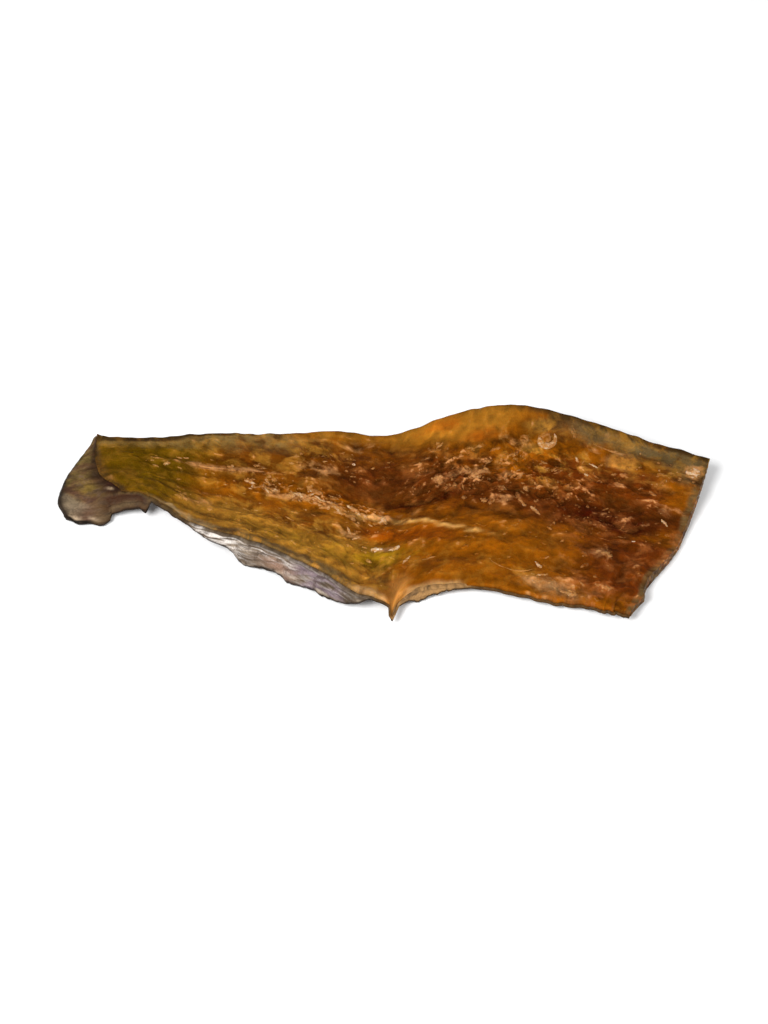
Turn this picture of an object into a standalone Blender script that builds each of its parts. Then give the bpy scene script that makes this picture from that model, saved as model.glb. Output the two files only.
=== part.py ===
"""Dried whiting fillet: the tail half of a skin-on fillet, dried hard and slightly curled.

Units are metres, +Z up. +X runs from the tail to the cut end and +Y towards the back of the
fish. The flesh side faces up, and a flat strip of the skin side rests on the ground at z = 0.

The fillet is one sheet. A place on it is given by a distance along it from the tail, in
millimetres, and a share across it: 0 at the back edge, 1 at the belly edge of the flesh.
Past the belly edge a margin of bare skin droops down. The skin is the sheet itself and the
flesh is the depth that stands on it.
"""

import math

import bpy
from mathutils import Vector, noise

MM = 0.001

# Driving sizes, in millimetres.
LENGTH = 118.2              # along the middle of the fillet, from the tail end to the cut
CREASE = 6.1                # where the flesh stops and the bare tail folds down
SKIN_DEPTH = 0.6            # the skin with the dried film on it
TAIL_DEPTH = 1.1            # the bare tail, skin on both sides
LEAST_DEPTH = 1.0           # the thinnest flesh, with its skin
DEEPEST_FLESH = 3.6         # the most that the solid measures from skin to flesh

# Cross-sections from the tail to the cut: distance along, back edge (x, y, z),
# belly edge of the flesh (x, y, z) and how far the middle is off the ground.
SECTIONS = (
    (0.0, (-56.4, 17.2, 5.0), (-63.8, 0.1, 0.3), 2.4),
    (3.0, (-55.8, 16.8, 5.5), (-58.3, 1.3, 2.2), 3.4),
    (6.1, (-55.1, 16.3, 5.8), (-53.0, 2.4, 4.2), 4.0),
    (14.3, (-46.6, 16.9, 5.0), (-46.1, 1.5, 4.6), 3.2),
    (24.2, (-36.0, 18.7, 4.2), (-37.1, -5.2, 4.8), 1.7),
    (37.3, (-22.8, 19.0, 3.6), (-23.9, -10.7, 5.0), 0.4),
    (49.8, (-9.5, 19.8, 3.6), (-12.2, -17.0, 4.8), 0.0),
    (60.7, (2.7, 18.1, 4.4), (-2.7, -22.7, 3.6), 0.0),
    (71.3, (14.3, 20.4, 8.0), (6.9, -20.0, 2.2), 0.0),
    (83.7, (26.5, 21.6, 10.0), (19.6, -18.9, 1.6), 0.0),
    (94.9, (38.2, 19.8, 8.5), (30.2, -21.7, 1.4), 0.0),
    (106.8, (51.4, 15.8, 6.5), (40.8, -24.0, 1.6), 0.0),
    (118.2, (65.6, 11.3, 5.0), (49.8, -26.2, 2.0), 0.0),
)
FLAT_FROM = 0.40            # the strip that rests on the ground, as shares across
FLAT_TO = 0.62
TAIL_BULGE = 2.0            # how far the rounded tail end stands out at its middle
CUT_BULGE = 1.0             # the same at the cut end
CUT_LEAN = 1.9              # the belly end of the cut lies this much nearer the tail
# Where the cut stands out or in: (share across, width, how far out).
CUT_TEETH = ((0.77, 0.05, -0.4), (0.89, 0.03, 0.7))
END_BLEND = 12.0            # how far in from the cut its bow and teeth reach
CORNER_CUT = 1.4            # how much of the tail's lower corner is rounded away
NUB_HEIGHT = 0.5            # a small nub at the tail's upper corner
RIPPLE_HEIGHT = 0.35        # slow ripples of the sheet
RIPPLE_SIZE = 9.0
EDGE_RAG = 0.35             # how ragged the two long edges are
RAG_SIZE = 2.3

# The flesh's depth. Muscles, groove and ridge run lengthwise, each with its place and
# width as shares across. A muscle swells by a factor of the general thickness.
NECK_FLESH = 0.9            # general thickness at the neck
BODY_FLESH = 2.4            # and towards the cut
SEAM_SHARE = 0.55           # the share of it that is left where two muscles meet
FILM_DEPTH = 0.6            # what lies under the muscles everywhere
MUSCLES = ((0.27, 0.17, 0.75), (0.70, 0.17, 0.60))
GROOVE = (0.45, 0.05, 0.55)
RIDGE = (0.58, 0.025, 0.45)
FOLDS_ACROSS = 7            # shallow lengthwise folds
FOLD_HEIGHT = 0.16
CRUMB_HEIGHT = 0.7          # crumbled flesh beside the groove
CRUMB_SIZE = 2.6
GRAIN_HEIGHT = 0.22         # and the unevenness everywhere
GRAIN_SIZE = 3.4

# The bare skin past the belly edge, as distance along and width: one stretch at the tail
# and neck, a torn strip that hangs under the belly, and a short fringe beside the shred.
NECK_SKIN = (
    (0.0, 0.8), (2.0, 3.0), (3.6, 3.8), (4.5, 5.1), (5.0, 5.1), (5.5, 4.1),
    (7.2, 3.7), (12.8, 3.1), (13.7, 3.5), (14.3, 3.3), (14.9, 0.2),
)
BELLY_SKIN = (
    (23.5, 0.2), (27.8, 2.0), (32.0, 2.8), (34.4, 5.1), (41.6, 4.4), (43.8, 5.2),
    (49.4, 4.3), (51.0, 4.6), (56.0, 3.2), (60.2, 1.0), (62.0, 0.2),
)
FRINGE_SKIN = ((67.6, 0.2), (69.5, 1.0), (72.0, 2.2), (74.0, 1.6), (76.5, 0.9), (81.0, 0.2))
LEAST_SKIN = 0.2            # the skin's own edge, where no more of it shows
SKIN_DROOP = math.radians(62)
DROOP_CURVE = 1.3           # 1 would droop in a straight line
GROUND_GAP = 0.25           # how near the drooping skin comes to the ground

# A shred of flesh that sticks out of the belly edge: a thin tip on a broad foot.
SHRED_AT = 67.3
SHRED_LENGTH = 6.0
SHRED_WIDTH = 0.9
SHRED_FOOT = 2.8
SHRED_DEPTH = 1.0
TIP_SHARE = 0.75            # the share of its length that is thin tip
SHRED_SAG = 0.25            # how far it sinks for each millimetre that it sticks out

# The grid: steps along the fillet, then rows across the flesh, its edge and the bare skin.
STEPS = 96
FLESH_ROWS = 22
SKIN_ROWS = 3
EDGE_WIDTH = 0.3            # the flesh's side, where its depth drops to the skin's
INSET = 0.94                # a share just inside the belly edge, which tells which way is out

FLESH_COLOUR = (0.28, 0.095, 0.012, 1.0)
FLESH_ROUGHNESS = 0.45
SKIN_COLOUR = (0.16, 0.135, 0.125, 1.0)
SKIN_ROUGHNESS = 0.35


def clear_scene():
    for item in list(bpy.data.objects):
        bpy.data.objects.remove(item, do_unlink=True)


def smoothstep(low, high, value):
    share = min(1.0, max(0.0, (value - low) / (high - low)))
    return share * share * (3 - 2 * share)


def plateau(value, start, end, fade):
    """1 between start and end, falling smoothly to 0 over fade, centred on each of them."""
    rise = smoothstep(start - fade / 2, start + fade / 2, value)
    return rise * (1 - smoothstep(end - fade / 2, end + fade / 2, value))


def bell(value, middle, width):
    return math.exp(-(((value - middle) / width) ** 2))


def wobble(along, across, size, seed):
    """Smooth noise from -1 to 1, with features about size long."""
    return noise.noise(Vector((along / size, across / size, seed)))


def spline(knots, values, at):
    """A smooth curve through the values at the knots."""
    last = len(knots) - 1
    i = max(j for j in range(last) if j == 0 or knots[j] <= at)

    def slope(j):
        before, after = max(0, j - 1), min(last, j + 1)
        return (values[after] - values[before]) / (knots[after] - knots[before])

    step = knots[i + 1] - knots[i]
    u = (at - knots[i]) / step
    return (
        values[i] * (1 + 2 * u) * (1 - u) ** 2
        + slope(i) * step * u * (1 - u) ** 2
        + values[i + 1] * u * u * (3 - 2 * u)
        + slope(i + 1) * step * u * u * (u - 1)
    )


def section(along):
    """(back edge, belly edge, lift) of the cross-section at a distance along."""
    knots = [s[0] for s in SECTIONS]
    back = Vector([spline(knots, [s[1][k] for s in SECTIONS], along) for k in range(3)])
    belly = Vector([spline(knots, [s[2][k] for s in SECTIONS], along) for k in range(3)])
    lift = max(0.0, spline(knots, [s[3] for s in SECTIONS], along))
    return back, belly, lift


def ends_bulge(along, share):
    """How far the two ends of the sheet stand out past a straight line, signed along X."""
    arch = 4 * share * (1 - share)
    tail = TAIL_BULGE * arch * (1 - smoothstep(0, CREASE, along))
    corner = CORNER_CUT * (1 - smoothstep(0.0, 2.6, along)) * smoothstep(0.86, 1.0, share)
    cut = CUT_BULGE * arch - CUT_LEAN * smoothstep(0.5, 0.8, share)
    for place, width, out in CUT_TEETH:
        cut += out * bell(share, place, width)
    return cut * smoothstep(LENGTH - END_BLEND, LENGTH, along) - tail + corner


def edge_rag(along, share):
    """How far a ragged long edge strays along Y."""
    back = EDGE_RAG * wobble(along, 0, RAG_SIZE, 7.0) * bell(share, 0.0, 0.1)
    belly = EDGE_RAG * wobble(along, 9, RAG_SIZE, 3.0) * bell(share, 1.0, 0.1)
    return back + belly


def sheet_point(along, share):
    """A point of the skin side, in millimetres, for a share from 0 to 1."""
    back, belly, lift = section(along)
    point = back.lerp(belly, share)
    rise_back = max(0.0, 1 - share / FLAT_FROM) ** 2
    rise_belly = max(0.0, (share - FLAT_TO) / (1 - FLAT_TO)) ** 2
    point.z = lift + (back.z - lift) * rise_back + (belly.z - lift) * rise_belly
    # nothing ripples where the sheet rests on the ground
    ripple = RIPPLE_HEIGHT * wobble(along, share * 40, RIPPLE_SIZE, 1.5)
    point.z += ripple * smoothstep(0.0, 1.5, point.z)
    point.x += ends_bulge(along, share)
    point.y += edge_rag(along, share)
    point.z += NUB_HEIGHT * bell(along, 3.6, 2.2) * bell(share, 0.0, 0.05)
    return point


def bare_skin_width(along):
    """How far the skin reaches past the belly edge of the flesh."""
    width = LEAST_SKIN
    for stretch in (NECK_SKIN, BELLY_SKIN, FRINGE_SKIN):
        knots, widths = zip(*stretch)
        if knots[0] <= along <= knots[-1]:
            width = max(width, spline(knots, widths, along))
    return width


def shred_reach(along):
    """How far the shred pulls the belly edge out."""
    tip = bell(along, SHRED_AT, SHRED_WIDTH)
    foot = bell(along, SHRED_AT, SHRED_FOOT)
    return SHRED_LENGTH * (TIP_SHARE * tip + (1 - TIP_SHARE) * foot)


def margin_point(along, share):
    """A point past the belly edge: share 0 is the flesh's edge and 1 the skin's torn edge."""
    edge = sheet_point(along, 1.0)
    inner = sheet_point(along, INSET)
    outward = Vector((edge.x - inner.x, edge.y - inner.y, 0)).normalized()
    width = EDGE_WIDTH + bare_skin_width(along)
    drop = min(width * math.sin(SKIN_DROOP), max(0.0, edge.z - GROUND_GAP))
    out = math.sqrt(max(0.0, width * width - drop * drop))
    out += shred_reach(along)
    drop += SHRED_SAG * shred_reach(along) * smoothstep(0.5, 2.0, edge.z)
    point = edge + outward * out * share
    point.z = max(edge.z - drop * share ** DROOP_CURVE, min(edge.z, GROUND_GAP))
    return point


def muscle_depth(along, share):
    """Depth of the two muscles, with the groove and the ridge between them."""
    swelling = SEAM_SHARE
    for place, width, height in MUSCLES:
        swelling += height * bell(share, place, width)
    general = NECK_FLESH + (BODY_FLESH - NECK_FLESH) * smoothstep(20, 80, along)
    groove = GROOVE[2] * bell(share, GROOVE[0], GROOVE[1]) * smoothstep(30, 60, along)
    ridge = RIDGE[2] * bell(share, RIDGE[0], RIDGE[1]) * plateau(along, 52, 92, 14)
    return FILM_DEPTH + general * swelling - groove + ridge


def surface_relief(along, share):
    """Folds, crumbled flesh and unevenness, in millimetres above or below the muscles."""
    sway = 1.6 * wobble(along, share * 10, 22.0, 5.0)
    folds = math.sin(share * FOLDS_ACROSS * 2 * math.pi + sway) * smoothstep(8, 20, along)
    crumbled = plateau(along, 66, 104, 20) * plateau(share, 0.14, 0.46, 0.16)
    crumbs = crumbled * wobble(along, share * 40, CRUMB_SIZE, 11.0)
    grain = wobble(along, share * 40, GRAIN_SIZE, 17.0)
    return FOLD_HEIGHT * folds + CRUMB_HEIGHT * crumbs + GRAIN_HEIGHT * grain


def flesh_depth(along, share):
    """Depth of the solid from its skin side to its flesh side, in millimetres."""
    depth = muscle_depth(along, share) + surface_relief(along, share)
    # both edges and the cut thin out
    depth *= 0.5 + 0.5 * smoothstep(0, 0.12, share)
    depth *= 0.62 + 0.38 * smoothstep(0, 0.10, 1 - share)
    depth *= 0.8 + 0.2 * smoothstep(0, 4, LENGTH - along)
    # and the bare tail has no flesh
    grown = smoothstep(CREASE - 0.6, CREASE + 1.2, along)
    depth = TAIL_DEPTH + (max(LEAST_DEPTH, depth) - TAIL_DEPTH) * grown
    return min(DEEPEST_FLESH, depth)


def place_and_depth(along, row):
    """(point, depth), both in millimetres, of a grid row: flesh rows, then the skin margin."""
    if row <= FLESH_ROWS:
        share = row / FLESH_ROWS
        return sheet_point(along, share), flesh_depth(along, share)
    past = row - FLESH_ROWS
    width = EDGE_WIDTH + bare_skin_width(along) + shred_reach(along)
    first = EDGE_WIDTH / width
    share = first + (1 - first) * (past - 1) / SKIN_ROWS
    shred = SHRED_DEPTH * bell(along, SHRED_AT, SHRED_FOOT) * (1 - share)
    return margin_point(along, share), max(SKIN_DEPTH, shred)


def simple_material(name, colour, roughness):
    material = bpy.data.materials.new(name)
    material.use_nodes = True
    shader = material.node_tree.nodes["Principled BSDF"]
    shader.inputs["Base Color"].default_value = colour
    shader.inputs["Roughness"].default_value = roughness
    return material


def make_fillet(collection):
    """The sheet as a shaped grid, thickened upwards by Solidify from its skin side."""
    rows = FLESH_ROWS + 1 + SKIN_ROWS
    bpy.ops.mesh.primitive_grid_add(x_subdivisions=STEPS, y_subdivisions=rows, size=2)
    fillet = bpy.context.active_object
    fillet.name = "fillet"
    depths = fillet.vertex_groups.new(name="depth")
    for vertex in fillet.data.vertices:
        along = LENGTH * (vertex.co.x + 1) / 2
        row = round(rows * (1 - vertex.co.y) / 2)
        point, depth = place_and_depth(along, row)
        vertex.co = point * MM
        depths.add([vertex.index], depth / DEEPEST_FLESH, "REPLACE")

    flesh = fillet.modifiers.new("Flesh", "SOLIDIFY")
    flesh.thickness = DEEPEST_FLESH * MM
    flesh.offset = 1.0
    flesh.vertex_group = depths.name
    flesh.use_even_offset = False
    flesh.material_offset = 1
    flesh.material_offset_rim = 0

    fillet.data.materials.append(simple_material("dried_flesh", FLESH_COLOUR, FLESH_ROUGHNESS))
    fillet.data.materials.append(simple_material("fish_skin", SKIN_COLOUR, SKIN_ROUGHNESS))
    for owner in list(fillet.users_collection):
        owner.objects.unlink(fillet)
    collection.objects.link(fillet)
    return fillet


def centre_over_origin(item):
    """Moves the object so that its bounding box is centred on the origin in X and Y."""
    bpy.context.view_layer.update()
    evaluated = item.evaluated_get(bpy.context.evaluated_depsgraph_get())
    corners = [v.co for v in evaluated.to_mesh().vertices]
    for axis in (0, 1):
        low = min(c[axis] for c in corners)
        high = max(c[axis] for c in corners)
        item.location[axis] = -(low + high) / 2
    evaluated.to_mesh_clear()


def main():
    clear_scene()
    collection = bpy.data.collections.new("dried_whiting_fillet")
    bpy.context.scene.collection.children.link(collection)
    fillet = make_fillet(collection)
    centre_over_origin(fillet)
    fillet.data.shade_smooth()


main()
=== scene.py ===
"""Looks of the dried whiting fillet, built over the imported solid.

The fillet is one curved sheet. A place on it is a distance along it from the tail, in
millimetres, and a share across it: 0 at the back edge, 1 at the belly edge of the flesh.
Lengths are in millimetres until a mesh is made. The skin is the sheet itself, the flesh
stands on it, and the flakes, crumbs and slivers lie on the flesh.
"""

import math
from functools import partial

import bpy
import numpy as np
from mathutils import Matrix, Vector, noise


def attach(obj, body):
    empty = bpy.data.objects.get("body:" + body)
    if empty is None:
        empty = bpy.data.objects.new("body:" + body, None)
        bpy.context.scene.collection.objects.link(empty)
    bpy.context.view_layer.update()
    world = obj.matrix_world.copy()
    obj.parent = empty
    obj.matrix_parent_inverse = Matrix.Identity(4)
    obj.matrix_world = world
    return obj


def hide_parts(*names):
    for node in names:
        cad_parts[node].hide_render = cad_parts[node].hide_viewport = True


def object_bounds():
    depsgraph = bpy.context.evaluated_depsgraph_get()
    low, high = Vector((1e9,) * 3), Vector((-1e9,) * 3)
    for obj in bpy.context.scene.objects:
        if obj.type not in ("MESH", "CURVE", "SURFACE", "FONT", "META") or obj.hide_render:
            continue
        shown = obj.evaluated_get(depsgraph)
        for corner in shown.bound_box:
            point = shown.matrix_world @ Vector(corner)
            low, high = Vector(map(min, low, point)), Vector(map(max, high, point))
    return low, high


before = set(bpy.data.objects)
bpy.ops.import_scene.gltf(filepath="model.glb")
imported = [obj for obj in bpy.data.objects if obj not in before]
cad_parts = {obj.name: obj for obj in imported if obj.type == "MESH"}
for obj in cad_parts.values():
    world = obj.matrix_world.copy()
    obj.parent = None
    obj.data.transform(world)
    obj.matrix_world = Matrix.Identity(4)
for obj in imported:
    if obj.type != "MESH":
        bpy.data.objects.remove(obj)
CAD_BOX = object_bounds()

MM = 0.001

# ---------------------------------------------------------------- the sheet's driving sizes
LENGTH = 118.2              # along the middle of the fillet, from the tail end to the cut
CREASE = 6.1                # where the flesh stops and the bare tail folds down
TAIL_DEPTH = 1.1            # the bare tail, skin on both sides
LEAST_DEPTH = 1             # the thinnest flesh, with its skin
MEAN_WIDTH = 38             # across the sheet: turns a share into millimetres for patterns

# Distance along, back edge (x, y, z), belly edge of the flesh (x, y, z), lift of the middle.
SECTIONS = (
    (0, (-56.4, 17.2, 5), (-63.8, 0.1, 0.3), 2.4),
    (3, (-55.8, 16.8, 5.5), (-58.3, 1.3, 2.2), 3.4),
    (6.1, (-55.1, 16.3, 5.8), (-53, 2.4, 4.2), 4),
    (14.3, (-46.6, 16.9, 5), (-46.1, 1.5, 4.6), 3.2),
    (24.2, (-36, 18.7, 4.2), (-37.1, -5.2, 4.8), 1.7),
    (37.3, (-22.8, 19, 3.6), (-23.9, -10.7, 5), 0.4),
    (49.8, (-9.5, 19.8, 3.6), (-12.2, -17, 4.8), 0),
    (60.7, (2.7, 18.1, 4.4), (-2.7, -22.7, 3.6), 0),
    (71.3, (14.3, 20.4, 8), (6.9, -20, 2.2), 0),
    (83.7, (26.5, 21.6, 10), (19.6, -18.9, 1.6), 0),
    (94.9, (38.2, 19.8, 8.5), (30.2, -21.7, 1.4), 0),
    (106.8, (51.4, 15.8, 6.5), (40.8, -24, 1.6), 0),
    (118.2, (65.6, 11.3, 5), (49.8, -26.2, 2), 0),
)
SHEET_CENTRE = (0.84, -2.68)        # of the sheet's own box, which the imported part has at 0, 0
FLAT_FROM, FLAT_TO = 0.4, 0.62      # the strip that rests on the ground, as shares across
TAIL_BULGE, CUT_BULGE = 2, 1        # how far both ends bow out in the middle
CUT_LEAN = 1.9                      # the belly end of the cut lies this much nearer the tail
# Where the cut stands out or in: (share across, width, how far out).
CUT_TEETH = ((0.77, 0.05, -0.4), (0.89, 0.03, 0.7))
END_BLEND = 12                      # the cut's shape comes in over this length
CORNER_CUT, NUB_HEIGHT = 1.4, 0.5
RIPPLE_HEIGHT, RIPPLE_SIZE = 0.35, 9
EDGE_RAG, RAG_SIZE = 0.35, 2.3

# The flesh's depth over the neck and the body, the seam's share of it, and the film under it.
NECK_FLESH, BODY_FLESH, SEAM_SHARE, FILM_DEPTH = 0.9, 2.4, 0.55, 0.6
MUSCLES = ((0.27, 0.17, 0.75), (0.7, 0.17, 0.6))     # place across, width, swelling
FOLDS_ACROSS, FOLD_HEIGHT = 7, 0.16

# How far the bare skin reaches past the belly edge, at distances along.
NECK_SKIN = (
    (0, 0.8), (2, 3), (3.6, 3.8), (4.5, 5.1), (5, 5.1), (5.5, 4.1),
    (7.2, 3.7), (12.8, 3.1), (13.6, 3.3), (14.3, 3.2), (15.6, 0.2),
)
BELLY_SKIN = (
    (23.5, 0.2), (27.8, 2), (32, 2.8), (34.4, 5.1), (41.6, 4.4), (43.8, 5.2),
    (49.4, 4.3), (51, 4.6), (56, 3.2), (60.2, 1), (62, 0.2),
)
FRINGE_SKIN = ((67.6, 0.2), (69.5, 1), (72, 2.2), (74, 1.6), (76.5, 0.9), (81, 0.2))
LEAST_SKIN = 0.2
SKIN_DROOP = math.radians(62)
GROUND_GAP = 0.25           # how high over the ground the bare skin stops
SHRED_AT, SHRED_LENGTH, SHRED_WIDTH, SHRED_FOOT = 67.3, 5.8, 0.75, 4.6
TIP_SHARE, SHRED_ARCH, SHRED_SAG = 0.52, 0.8, 1

START_DEPTH, LEAST_START = 0.95, 0.45   # of the flesh where it begins, and the least there
FRINGE_DEPTH = 0.3          # of the flesh over the fringe of skin beside the shred
SHRED_THINNING = 0.65       # how much of its depth the flesh loses where the shred is drawn out
OVERLAP = 0.2               # how deep the flesh's underside sits in the skin
CUT_FACE = 2.6              # height of the cut face, which its patterns are laid out by
CAVITY_BLUR = 24            # rounds of averaging that the cavity is measured against

# ---------------------------------------------------------------- what the surface shows
# The dark band's middle, and half its width, as shares across at distances along.
BAND_MIDDLE = ((20, 0.37), (40, 0.35), (52, 0.3), (60, 0.29), (72, 0.33), (85, 0.42),
               (95, 0.47), (106, 0.46), (118, 0.4))
BAND_WIDTH = ((20, 0.03), (40, 0.06), (52, 0.14), (60, 0.16), (72, 0.18), (85, 0.14),
              (95, 0.1), (106, 0.1), (118, 0.08))
# Soft patches of the flesh's layers: along, share, how far each reaches (both ways), how much.
FLESH_PATCHES = {
    "brown": ((43, 0.68, 8, 0.11, 0.6), (49, 0.66, 7, 0.06, 0.9), (33, 0.58, 5, 0.05, 0.6)),
    "green": ((62, 0.775, 6.5, 0.075, 1), (44, 0.84, 14, 0.08, 0.5)),
    "dark": (
        (105, 0.48, 9, 0.06, 1.1), (69, 0.43, 9, 0.035, 0.8), (78, 0.21, 4, 0.03, 0.8),
        (52.5, 0.17, 2.5, 0.025, 0.8), (52.5, 0.4, 5, 0.02, 0.6),
    ),
    "embers": (
        (79, 0.1, 4, 0.03, 0.8), (70, 0.03, 4, 0.03, 0.7), (105.4, 0.132, 1.7, 0.015, 0.8),
    ),
    "shade": (
        (94, 0.03, 4, 0.05, 0.7), (63, 0.89, 5, 0.05, 0.5), (89.8, 0.055, 2.6, 0.025, 0.9),
    ),
    "edge_film": ((99, 0.95, 7, 0.05, 0.5), (105, 0.13, 3, 0.04, 0.6)),
    "cloudy": ((99, 0.9, 8, 0.08, 0.4),),
    "pale": (
        (25, 0.31, 7, 0.035, 0.75), (36, 0.3, 5, 0.02, 0.55), (24, 0.72, 5, 0.07, 0.4),
        (27, 0.58, 2.2, 0.04, 0.5), (42, 0.46, 6, 0.03, 0.5), (50, 0.47, 5.5, 0.025, 0.35),
        (55.8, 0.64, 2.6, 0.03, 0.6), (63.4, 0.712, 4.5, 0.02, 0.95), (62, 0.49, 5, 0.018, 0.6),
        (73, 0.3, 3.5, 0.05, 0.4), (79, 0.27, 4.5, 0.05, 0.3), (85, 0.3, 3, 0.04, 0.3),
        (84.5, 0.45, 3, 0.025, 0.6), (6.6, 0.69, 0.9, 0.06, 0.22), (85, 0.12, 4, 0.035, 0.35),
        (91.2, 0.05, 1.8, 0.03, -1), (100.5, 0.11, 2, 0.02, 0.45), (107, 0.69, 3.5, 0.055, 0.35),
        (97, 0.943, 5.5, 0.03, 0.6), (50, 0.26, 3, 0.04, 0.35), (56, 0.09, 3.5, 0.04, 0.45),
        (103.5, 0.975, 2.5, 0.018, 0.5), (116.6, 0.1, 1.6, 0.06, 0.5), (115, 0.35, 2.2, 0.055, 0.5),
        (47, 0.22, 3.5, 0.05, 0.4),
    ),
}
# How far across the golden rim along the back reaches; its brighter colour is partly the flesh's own,
# partly painted glow of light through the thin edge.
RIM_LIMIT = ((40, 0.03), (58, 0.05), (66, 0.09), (73, 0.115), (79, 0.11), (84, 0.06), (89, 0.02))
# The middle of the strip of pale flakes, and the pale ridge along the band's lower edge.
FLAKY_LINE = ((34, 0.42), (48, 0.45), (62, 0.5))
RIDGE_LINE = ((54, 0.505), (62, 0.503), (71, 0.583), (78, 0.656), (86, 0.71))
START_SLANT = 3             # the flesh begins this much nearer the tail at the back edge
START_HOOK = 2.3            # and this much farther from it at the belly edge

# The flesh's grid, how many rows its underside has, and the columns down the cut face.
FLESH_STEPS, FLESH_ROWS, FLOOR_ROWS, CUT_COLUMNS = 440, 190, 10, 9
SKIN_STEPS, SKIN_ROWS, MARGIN_ROWS = 300, 116, 26
SKIN_THICKNESS, LEAST_SKIN_DEPTH = 0.42, 0.18


def srgb(red, green, blue):
    """A colour as seen on a screen, 0 to 255, as Blender's linear colour."""
    def linear(value):
        value /= 255
        return value / 12.92 if value <= 0.04045 else ((value + 0.055) / 1.055) ** 2.4
    return (linear(red), linear(green), linear(blue), 1)


# ---------------------------------------------------------------- shaping functions on arrays
def ramp(low, high, value):
    """0 up to low and 1 from high, smooth in between; it falls where low is the greater."""
    share = np.clip((value - low) / (high - low), 0, 1)
    return share * share * (3 - 2 * share)


def plateau(value, start, end, fade):
    """1 between start and end, falling smoothly to 0 over fade, centred on each of them."""
    rise = ramp(start - fade / 2, start + fade / 2, value)
    return rise * ramp(end + fade / 2, end - fade / 2, value)


def bell(value, middle, width):
    return np.exp(-(((value - middle) / width) ** 2))


def blob(along, share, place, across, long, wide):
    """A soft round patch: its middle (along, share) and how far it reaches both ways."""
    return bell(along, place, long) * bell(share, across, wide)


def wobble(along, across, size, seed, stretch=1):
    """Smooth noise from -1 to 1, with features about size across and size * stretch along."""
    shape = np.broadcast(along, across).shape
    x = np.broadcast_to(np.asarray(along) / (size * stretch), shape).ravel()
    y = np.broadcast_to(np.asarray(across) / size, shape).ravel()
    return np.array([noise.noise((a, b, seed)) for a, b in zip(x, y)]).reshape(shape)


def spline(points, at):
    """A smooth curve through (place, value) points, for an array of places."""
    knots, values = (np.array(column, float) for column in zip(*points))
    index = np.arange(len(knots))
    before, after = np.maximum(index - 1, 0), np.minimum(index + 1, len(knots) - 1)
    slopes = (values[after] - values[before]) / (knots[after] - knots[before])
    at = np.clip(at, knots[0], knots[-1])
    i = np.clip(np.searchsorted(knots, at, side="right") - 1, 0, len(knots) - 2)
    step = knots[i + 1] - knots[i]
    u = (at - knots[i]) / step
    return (
        values[i] * (1 + 2 * u) * (1 - u) ** 2
        + slopes[i] * step * u * (1 - u) ** 2
        + values[i + 1] * u * u * (3 - 2 * u)
        + slopes[i + 1] * step * u * u * (u - 1)
    )


def edge_curve(edge, along):
    """The back edge (1) or the belly edge (2) of SECTIONS, as points along."""
    return np.stack([spline([(s[0], s[edge][k]) for s in SECTIONS], along) for k in range(3)], -1)


# ---------------------------------------------------------------- the sheet, as in the solid
def sheet_points(along, share):
    """Points of the skin side for arrays of places, share from 0 to 1."""
    back, belly = edge_curve(1, along), edge_curve(2, along)
    lift = np.maximum(0, spline([(s[0], s[3]) for s in SECTIONS], along))
    points = back + (belly - back) * share[..., None]
    rise_back = np.maximum(0, 1 - share / FLAT_FROM) ** 2
    rise_belly = np.maximum(0, (share - FLAT_TO) / (1 - FLAT_TO)) ** 2
    height = lift + (back[..., 2] - lift) * rise_back + (belly[..., 2] - lift) * rise_belly
    ripple = RIPPLE_HEIGHT * wobble(along, share * 40, RIPPLE_SIZE, 1.5)
    points[..., 2] = height + ripple * ramp(0, 1.5, height)

    arch = 4 * share * (1 - share)
    tail = TAIL_BULGE * arch * ramp(CREASE, 0, along)
    cut = CUT_BULGE * arch - CUT_LEAN * ramp(0.5, 0.8, share)
    cut = cut + sum(out * bell(share, place, width) for place, width, out in CUT_TEETH)
    points[..., 0] += cut * ramp(LENGTH - END_BLEND, LENGTH, along) - tail
    points[..., 1] += EDGE_RAG * wobble(along, 0 * share, RAG_SIZE, 7) * bell(share, 0, 0.1)
    points[..., 1] += EDGE_RAG * wobble(along, 9 + 0 * share, RAG_SIZE, 3) * bell(share, 1, 0.1)
    # finer raggedness near the lower end of the cut
    frayed = ramp(92, 104, along) * bell(share, 1, 0.04)
    fray = wobble(along, 5 + 0 * share, 1.4, 6) * (0.4 + wobble(along, 8 + 0 * share, 4, 8))
    points[..., 1] += 1.1 * frayed * fray
    # the tail's lower corner is rounded, and its upper one is a small nub
    rounded = ramp(2.6, 0, along) * ramp(0.86, 1, share)
    points[..., 0] += CORNER_CUT * rounded
    points[..., 2] += NUB_HEIGHT * bell(along, 3.6, 2.2) * bell(share, 0, 0.05)
    return points


def sheet_width(along):
    return np.linalg.norm(edge_curve(2, along) - edge_curve(1, along), axis=-1)


def across_sheet(along, share):
    """Millimetres across the sheet from the line it rests on: what patterns are laid out by."""
    return (share - FLAT_FROM) * sheet_width(along)


def belly_outward(along):
    """Which way is out, level with the ground, at the belly edge."""
    one = np.ones_like(along)
    step = sheet_points(along, one) - sheet_points(along, 0.94 * one)
    step[..., 2] = 0
    return step / np.linalg.norm(step, axis=-1, keepdims=True)


def shred_reach(along):
    """(foot, tip): how far the shred's soft broad foot and its thin tip pull the belly edge."""
    square = (along - SHRED_AT) ** 2
    foot = np.clip(1 - (np.sqrt(square + 1) - 1) / SHRED_FOOT, 0, 1) ** 1.6
    tip = np.clip(1 - (np.sqrt(square + 0.02) - 0.14) / SHRED_WIDTH, 0, 1) ** 1.3
    return SHRED_LENGTH * (1 - TIP_SHARE) * foot, SHRED_LENGTH * TIP_SHARE * tip


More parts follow.
